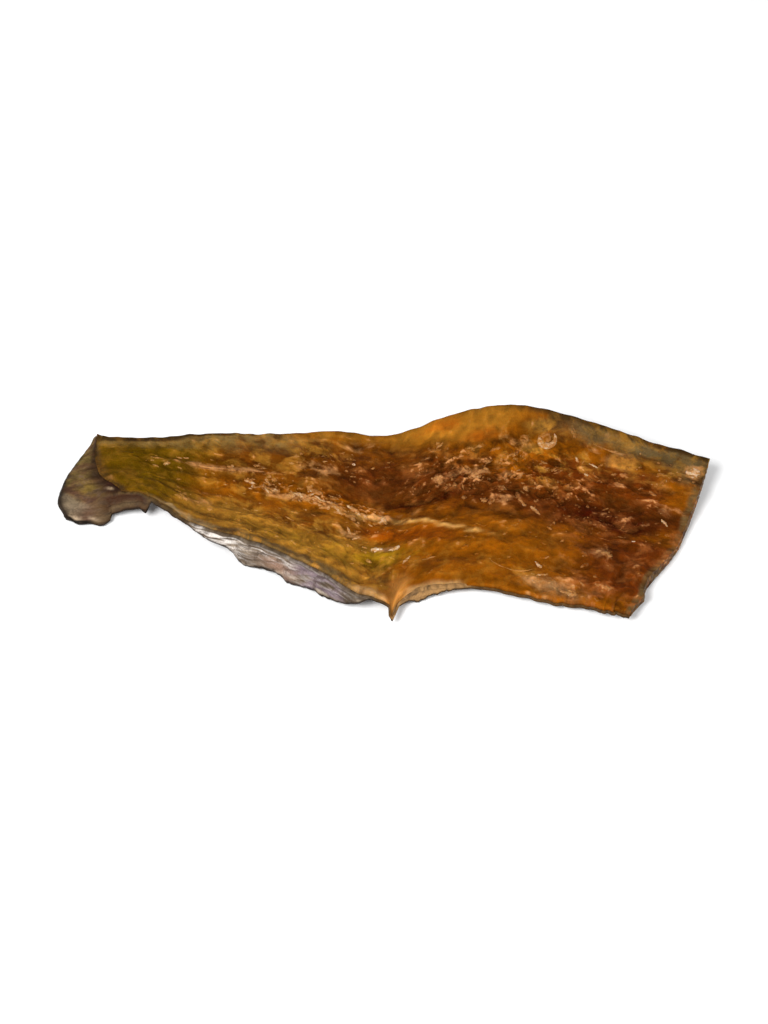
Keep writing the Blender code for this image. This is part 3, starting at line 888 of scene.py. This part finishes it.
def point_on(surface, along, share, height):
    """Points that stand a height over the flesh's surface, for arrays of places on it."""
    top, normals = surface
    steps, rows = top.shape[0] - 1, top.shape[1] - 1
    start = flesh_start(share)
    column = np.clip((along - start) / (LENGTH - start), 0, 1) * steps
    row = np.clip(share, 0, 1) * rows
    i = np.minimum(column.astype(int), steps - 1)
    j = np.minimum(row.astype(int), rows - 1)
    right, down = (column - i)[..., None], (row - j)[..., None]

    def blend(grid):
        upper = grid[i, j] * (1 - right) + grid[i + 1, j] * right
        lower = grid[i, j + 1] * (1 - right) + grid[i + 1, j + 1] * right
        return upper * (1 - down) + lower * down

    return blend(top) + blend(normals) * height[..., None]


def scattered(strips, rng, slender):
    """Rows like those of SINGLE_BITS, strewn over the strips; slender is width by length."""
    rows = []
    for count, start, end, spread, lengths, angles, tones in strips:
        for _ in range(count):
            way = rng.uniform()
            length = lengths[0] + (lengths[1] - lengths[0]) * rng.uniform() ** 1.6
            rows.append((
                start[0] + (end[0] - start[0]) * way,
                start[1] + (end[1] - start[1]) * way + spread * rng.uniform(-1, 1),
                length,
                length * rng.uniform(*slender),
                rng.uniform(*angles),
                rng.uniform(-50, 50),
                rng.uniform(*tones),
            ))
    return rows


def bits(name, surface, rows, grid, material, rng, thickness, lift=0):
    """One piece made of closed bits that lie on the flesh, one for each row."""
    along, share, length, width, angle, bend, tone = (
        column[:, None, None] for column in np.array(rows, float).T)
    share = np.clip(share, 0.02, 0.985)
    count, size = len(rows), grid[0] * grid[1]

    def drawn(low, high, each=(1, 1)):
        return rng.uniform(low, high, (count, *each))

    u = np.linspace(-0.97, 0.97, grid[0])[None, :, None]
    v = np.linspace(-1, 1, grid[1])[None, None, :]
    # the bit's middle line is an arc; a straight bit has a very small bend
    bend = np.radians(np.where(np.abs(bend) < 1, 1, bend))
    radius, turn = length / bend, u * bend / 2
    # the arcs that make up a ring are smoother than the flakes
    uneven = np.where(np.abs(bend) > RING_BEND, 0.15, 0.5)
    ragged = 1 + uneven * drawn(-1, 1, grid)
    taper = drawn(0.4, 0.8)
    lean = 1 + drawn(-0.5, 0.5) * u
    half = width / 2 * (1 - u ** 2) ** taper * lean * ragged * v
    x = radius * np.sin(turn) - half * np.sin(turn)
    y = radius * (1 - np.cos(turn)) + half * np.cos(turn)
    y = y - np.where(np.abs(bend) > 3, radius, 0)
    angle = np.radians(angle)
    places = along + x * np.cos(angle) - y * np.sin(angle)
    shares = share + (x * np.sin(angle) + y * np.cos(angle)) / sheet_width(along)

    thick = thickness * np.minimum(width, WIDEST_DOME) * drawn(0.5, 1.4)
    dome = np.sqrt(np.clip(1 - (0.95 * v) ** 2 - (0.9 * u) ** 2, 0, 1))
    dome = dome * (1 + 0.35 * drawn(-1, 1, grid))
    raised = lift * drawn(0, 1) * length * np.maximum(0, u) ** 2
    upper = point_on(surface, places, shares, thick * dome + raised - 0.01)
    lower = point_on(surface, places, shares, raised - BIT_DEPTH + 0 * places)
    vertices = twice(upper, lower, count, size)

    shape = closed_faces(grid, grid)
    faces = [tuple(k * 2 * size + corner for corner in face) for k in range(count) for face in shape]
    fields = flesh_fields(places, shares, 0.1 + 0 * places)
    fields["tone"] = tone + 0 * places
    fields["place"] = np.stack([places, across_sheet(places, shares), 0 * places], -1)
    fields = {key: twice(values, values, count, size) for key, values in fields.items()}
    return make_piece(name, to_frame(vertices), faces, material, fields)


def twice(upper, lower, count, size):
    """Values on the upper grids and the lower grids of all bits, in the order of their points."""
    tail = upper.shape[3:]
    pairs = [values.reshape(count, size, *tail) for values in (upper, lower)]
    return np.concatenate(pairs, 1).reshape(-1, *tail)


def bits_material():
    """Dried flakes: from the flesh's own colour over beige to nearly white, by the tone of each; the
    nearly white ones are partly painted glints.
    """
    nodes = Nodes("dried_flakes")
    motes = nodes.speckle(1.4, 0, 0.7, 6, 0.66)
    grain = nodes.speckle(1, 0, 0.22, 4, 0.6)
    mottle = nodes.spread(motes, -0.35, 0.3)
    tone = nodes.calculate("ADD", nodes.field("tone"), mottle)
    colour, _ = flesh_colour(nodes)
    for limits, flake_colour in FLAKE_TONES:
        colour = nodes.mix(nodes.remap(tone, *limits), colour, srgb(*flake_colour))
    nodes.set("Base Color", nodes.darkened(colour, nodes.spread(grain, 0.78, 1.2)))
    nodes.set("Roughness", 0.5)
    set_gloss(nodes)
    nodes.bump(grain, 0.4, 0.06 * MM)
    return nodes.material


def make_bits(surface):
    """(flakes, crumbs) strewn over the flesh."""
    rng = np.random.default_rng(SEED)
    material = bits_material()
    rows = list(SINGLE_BITS) + scattered(FLAKE_STRIPS, rng, slender=(0.16, 0.5))
    flakes = bits("fillet_flakes", surface, rows, FLAKE_GRID, material, rng, thickness=0.26, lift=0.08)
    rows = scattered(CRUMB_STRIPS, rng, slender=(0.6, 0.95))
    crumbs = bits("fillet_crumbs", surface, rows, CRUMB_GRID, material, rng, thickness=0.45)
    return flakes, crumbs


# ---------------------------------------------------------------- skin
SCALE_LENGTH, SCALE_WIDTH = 1.7, 1.15


def scale_relief(along, across):
    """Scale pockets: staggered rows whose rounded free edges point to the tail."""
    sway = (across + 0.5 * wobble(along, across, 7, 71)) / SCALE_WIDTH
    row = np.floor(sway)
    u = (along + 0.3 * wobble(along, across, 3, 73)) / SCALE_LENGTH + 0.5 * (row % 2)
    v = sway - row - 0.5
    u = (u + 0.9 * v * v) % 1
    return (1 - u) * ramp(0.5, 0.36, np.abs(v)) * ramp(0, 0.12, u)


def skin_fields(along, share, past, relief):
    """Where each of the skin's colours lies, 0 to 1."""
    on = partial(plateau, along)
    width = bare_skin_width(along)
    to_edge, out = (1 - past) * width, past * width
    rough = partial(wobble, along, out)
    bare = ramp(0, 0.05, past)
    behind = flesh_start(share) - along
    streaks = wobble(along, out + 0.3 * rough(1.5, 82, 2), 0.34, 81, 9)
    # painted highlights: white streaks where the flap's silvery skin catches the light, and a long one
    # beside the flesh
    highlight_streaks = ramp(-0.25, 0.2, streaks) * ramp(37, 31, along)
    highlight_streaks += 0.7 * ramp(-0.2, 0.3, streaks) * on(37, 45, 5) * bell(out, 1.4, 0.6)
    flap, neck = bare * on(25, 61, 5), bare * on(4.8, 15, 1.6)
    # how far across the tail, on into the bare skin, and the line where its pale corner begins
    down = share + out / 16
    corner = 1.3 + 12 * (down - 0.77)
    at_corner = bell(along, corner, 0.55) * ramp(0.62, 0.72, down)
    # how near the torn edge it turns dark: the start and the end of the change
    dark_from = 0.12 + 0.1 * flap + 0.25 * neck
    dark_to = 0.3 + 0.4 * flap + 0.5 * neck + 0.25 * on(69, 81, 3)
    torn = bare * (1 - ramp(dark_from, dark_to, to_edge)) * (1 - 0.45 * on(83, 116, 4))
    return {
        "silver": ramp(0.45, 0.85, share + 0.08 * wobble(along, across_sheet(along, share), 6, 83)),
        "bare": np.maximum(bare, ramp(0.955, 0.985, share)),
        "flap": flap,
        "lilac": flap * on(45, 56, 6) * ramp(-0.25, 0.15, rough(1.6, 85, 2)),
        "beige": flap * ramp(-0.05, 0.3, rough(1.5, 87, 2.4)),
        "brownish": flap * ramp(-0.05, 0.3, rough(1.3, 88, 2)),
        "lines": flap * ramp(0.02, 0.35, rough(0.42, 84, 6)),
        "pink": flap * blob(along, past, 42, 0.6, 3.5, 0.3),
        "shaded": flap * np.maximum(ramp(0.9, 0.3, out) * (1 - 0.7 * ramp(57, 59, along)),
                                    0.9 * bell(along, 57.8, 1.4)),
        "streaks": flap * (highlight_streaks + 0.25 * ramp(0, 0.3, streaks)),
        "tail": ramp(-1.6, -0.8, behind) * (1 - ramp(3, 5.5, along) * bare),
        "tail_pale": ramp(0.3, 1, corner - along) * ramp(0.72, 0.8, down),
        "tail_gold": blob(along, share, 3.3, 0.82, 0.9, 0.12),
        "tail_brown": np.minimum(1, at_corner + 1.3 * blob(along, down, 3.7, 1.13, 1.5, 0.1)),
        # painted shadow along the tail's lower edge, nearly black
        "tail_edge_shade": bare * ramp(0.9, 0.5, to_edge - 0.5 * ramp(2, 0, along)) * ramp(6, 4.6, along),
        # painted shade in the crease where the flesh begins, and in the fold of the bare skin beside it
        "crease_shade": bell(np.maximum(behind, 0.3), 0.3, 0.7 + 0.5 * ramp(0.3, 0.6, share)) * (1 - bare)
        + 0.7 * bare * on(5.2, 7.4, 1.4),
        "spot": np.minimum(1, 1.5 * blob(along, share, 6.4, 0.9, 1.7, 0.13)),
        # painted highlight: a pale fleck beside the dark spot by the crease
        "glint_fleck": np.minimum(
            1, 1.3 * blob(along - 8 * (share - 0.92), share, 6.2, 0.92, 0.45, 0.03)),
        # painted highlight: a pale line along the tail's rounded lower edge, just above its painted
        # shadow
        "tail_highlight_line": bell(to_edge, 1.05, 0.35) * on(0.8, 4.4, 1.2)
        * ramp(-0.3, 0.2, rough(1.2, 86)),
        "neck": neck,
        "neck_low": neck * bell(to_edge, 1.3, 0.7) * (1 - 0.5 * ramp(10, 13, along)),
        "fleshy": ramp(62.5, 65, along) * np.maximum(bare, ramp(0.965, 0.985, share)),
        "tatters": on(67, 82, 3) * ramp(0.955, 0.975, share),
        "torn": np.clip(torn + ramp(1.1, 0.4, along) + ramp(0.022, 0.004, share), 0, 1),
        "lateral": bell(share, 0.42 + 0.02 * np.sin(along / 17), 0.012),
        "relief": relief,
    }


# Layers of colour over the dark back: field name, colour, how much of it.
SKIN_LAYERS = (
    ("silver", (150, 142, 140), 1),
    ("lateral", (70, 56, 48), 0.8),
    ("bare", (86, 66, 40), 1),
    ("flap", (104, 90, 76), 1),
    ("beige", (140, 124, 106), 0.85),
    ("brownish", (74, 58, 42), 0.75),
    ("lines", (60, 50, 40), 0.65),
    ("lilac", (108, 92, 104), 0.7),
    ("pink", (146, 112, 94), 0.6),
    ("shaded", (72, 60, 46), 0.75),
    # painted highlights on the flap's silvery skin
    ("streaks", (198, 189, 181), 0.8),
    ("neck", (52, 29, 16), 0.95),
    ("neck_low", (96, 78, 54), 0.7),
    ("fleshy", (88, 60, 28), 0.9),
    ("tatters", (156, 118, 74), 0.85),
)
TAIL_LAYERS = (
    ("tail_pale", (116, 100, 80), 0.8),
    ("tail_gold", (118, 94, 38), 0.7),
    ("tail_brown", (76, 50, 38), 0.8),
    # painted shade in the crease where the flesh begins
    ("crease_shade", (48, 30, 16), 0.9),
    ("spot", (46, 24, 16), 0.95),
    # painted highlight beside the dark spot
    ("glint_fleck", (142, 120, 94), 0.9),
    # painted highlight along the tail's lower edge
    ("tail_highlight_line", (166, 144, 118), 0.85),
    # painted shadow along the tail's lower edge
    ("tail_edge_shade", (9, 6, 4), 0.97),
)


def paint(nodes, colour, layers):
    for name, layer_colour, amount in layers:
        share = nodes.product(nodes.field(name), amount)
        colour = nodes.mix(share, colour, srgb(*layer_colour))
    return colour


def skin_material():
    nodes = Nodes("fish_skin")
    patches = nodes.speckle(1.5, 0, 3, 6, 0.65)
    blots = nodes.speckle(1, 30, 1.8, 6, 0.65)
    grain = nodes.speckle(1, 0, 0.3, 3, 0.55)
    back = nodes.mix(nodes.remap(patches, 0.35, 0.7), srgb(78, 62, 50), srgb(96, 82, 78))
    tail = nodes.mix(nodes.remap(patches, 0.42, 0.58), srgb(84, 60, 38), srgb(98, 80, 42))
    tail = nodes.mix(nodes.remap(blots, 0.5, 0.62), tail, srgb(120, 94, 66))
    tail = paint(nodes, tail, TAIL_LAYERS)
    colour = nodes.mix(nodes.field("tail"), paint(nodes, back, SKIN_LAYERS), tail)
    colour = nodes.mix(nodes.remap(blots, 0.5, 0.62, 0, 0.55), colour, srgb(62, 48, 36))
    colour = paint(nodes, colour, (("torn", (30, 22, 15), 0.92),))
    # painted shade: the skin darker in its hollows, scale pockets and between its loose layers, lighter
    # where it stands up
    shade = nodes.remap(nodes.field("relief"), 0, 0.8, 0.66, 1.12)
    shade = nodes.product(shade, nodes.spread(grain, 0.84, 1.16))
    nodes.set("Base Color", nodes.darkened(colour, shade))
    nodes.set("Roughness", nodes.spread(patches, 0.42, 0.62))
    open_share = nodes.calculate("MAXIMUM", nodes.field("bare"), nodes.field("tail"))
    covered = nodes.calculate("SUBTRACT", 1.0, open_share)
    nodes.set("Metallic", nodes.product(nodes.field("silver"), 0.25, covered))
    nodes.set("Specular IOR Level", 0.06)
    nodes.bump(grain, 0.6, 0.12 * MM)
    return nodes.material


def make_skin(material):
    """The skin: a thin closed sheet, bare at the tail and past the belly edge."""
    along, share = make_grid(0, LENGTH, SKIN_STEPS, SKIN_ROWS)
    margin_along, past = make_grid(0, LENGTH, SKIN_STEPS, MARGIN_ROWS)
    margin_along, past = margin_along[:, 1:], past[:, 1:]
    sheet = sheet_points(along, share)
    sheet, _ = pulled(sheet, along, share)
    under = np.concatenate([sheet, margin_points(margin_along, past)], 1)
    normals = upward(under)
    along = np.concatenate([along, margin_along], 1)
    share = np.concatenate([share, np.ones_like(past)], 1)
    past = np.concatenate([np.zeros((len(past), SKIN_ROWS + 1)), past], 1)

    across = across_sheet(along, share) + past * bare_skin_width(along)
    rough = partial(wobble, along, across)
    tail = ramp(-1, 0.5, flesh_start(share) - along)
    scales = scale_relief(along, across) * (1 - tail)
    # loose layers on the torn flap step down towards its edge
    layers = (across / 1.3 + 0.7 * rough(5, 91, 3)) % 1
    rays, wrinkles, pits = rough(1.3, 93, 1.6), rough(1.4, 95, 3), rough(0.7, 96)
    torn = ramp(0, 0.3, past)
    above = SKIN_THICKNESS + (TAIL_DEPTH - SKIN_THICKNESS) * tail
    above = above + torn * (0.3 * layers - 0.14 + 0.16 * wrinkles + 0.1 * rough(0.6, 98, 3))
    above = above + tail * (0.24 * rays + 0.14 * pits + 0.25 * rough(3.2, 97) - 0.1)
    # past the flap the skin is a thin fringe under the flesh's edge
    above = above * (1 - 0.55 * ramp(60, 64, along) * torn)
    above = above + 0.22 * plateau(along, 68, 80, 2) * rough(0.55, 99, 0.8) * torn
    rounding = 0.35 + 0.65 * np.sqrt(np.clip((1 - past) / 0.12, 0, 1))
    rounding = rounding * (0.4 + 0.6 * np.sqrt(np.clip(share / 0.04, 0, 1)))
    rounding = rounding * (0.5 + 0.5 * np.sqrt(np.clip(along / 0.7, 0, 1)))
    top = under + normals * np.maximum(LEAST_SKIN_DEPTH, above * rounding)[..., None]
    bottom = under + normals * (0.12 * (1 - scales) + 0.05 * np.maximum(0, wrinkles))[..., None]

    bare = ramp(0, 0.1, past)
    # how far each place stands up, for the skin's painted shade
    relief = scales * (1 - bare) + tail * (0.45 + 0.9 * rays + 0.7 * pits) + bare * (0.35 + 0.6 * layers)
    fields = skin_fields(along, share, past, relief)
    fields["place"] = np.stack([along, across, 0 * along], -1)
    return closed_sheet("fillet_skin", top, bottom, 1, material, fields)


# ---------------------------------------------------------------- stage, lights and camera
CAMERA_ELEVATION = math.radians(50)
CAMERA_LENS = 100
SENSOR = 36
FRAME_SHARE = 0.86          # how much of the picture's width the fillet takes
PICTURE_SHAPE = 768 / 1024  # the picture's width to its height
FLOOR_SIZE = 4.0            # metres


def make_stage():
    bpy.ops.mesh.primitive_plane_add(size=FLOOR_SIZE)
    floor = bpy.context.active_object
    floor.name = "floor"
    paper = Nodes("paper")
    paper.set("Base Color", (0.92, 0.92, 0.92, 1.0))
    paper.set("Roughness", 0.9)
    floor.data.materials.append(paper.material)


def make_lamp(name, place, size, watts):
    """A square lamp that points at the fillet."""
    lamp = bpy.data.lights.new(name, "AREA")
    lamp.size = size
    lamp.energy = watts
    item = bpy.data.objects.new(name, lamp)
    item.location = place
    item.rotation_euler = (-Vector(place)).to_track_quat("-Z", "Y").to_euler()
    bpy.context.scene.collection.objects.link(item)


def make_lights():
    world = bpy.data.worlds.new("studio")
    bpy.context.scene.world = world
    world.use_nodes = True
    background = world.node_tree.nodes["Background"]
    background.inputs["Color"].default_value = (1, 1, 1, 1)
    background.inputs["Strength"].default_value = 0.38
    make_lamp("key", (-0.3, -0.3, 0.5), size=0.3, watts=5)
    make_lamp("fill", (0.45, -0.25, 0.45), size=0.5, watts=2)
    bpy.context.scene.view_settings.view_transform = "Standard"


def make_camera():
    low, high = CAD_BOX
    centre = (low + high) / 2
    data = bpy.data.cameras.new("camera")
    data.lens = CAMERA_LENS
    data.sensor_width = SENSOR
    # the picture is taller than wide, so the sensor's width is its height
    view_width = (high.x - low.x) / FRAME_SHARE
    distance = view_width / (SENSOR / CAMERA_LENS * PICTURE_SHAPE)
    back = Vector((0, -math.cos(CAMERA_ELEVATION), math.sin(CAMERA_ELEVATION)))
    camera = bpy.data.objects.new("camera", data)
    camera.location = centre + back * distance
    camera.rotation_euler = (-back).to_track_quat("-Z", "Y").to_euler()
    data.clip_start, data.clip_end = 0.01, 20
    bpy.context.scene.collection.objects.link(camera)
    bpy.context.scene.camera = camera


def main():
    make_stage()
    make_lights()
    make_camera()
    flesh, surface = make_flesh(flesh_material())
    flakes, crumbs = make_bits(surface)
    skin = make_skin(skin_material())
    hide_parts("fillet")
    for piece in (flesh, flakes, crumbs):
        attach(piece, "root")
    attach(skin, "root")


main()
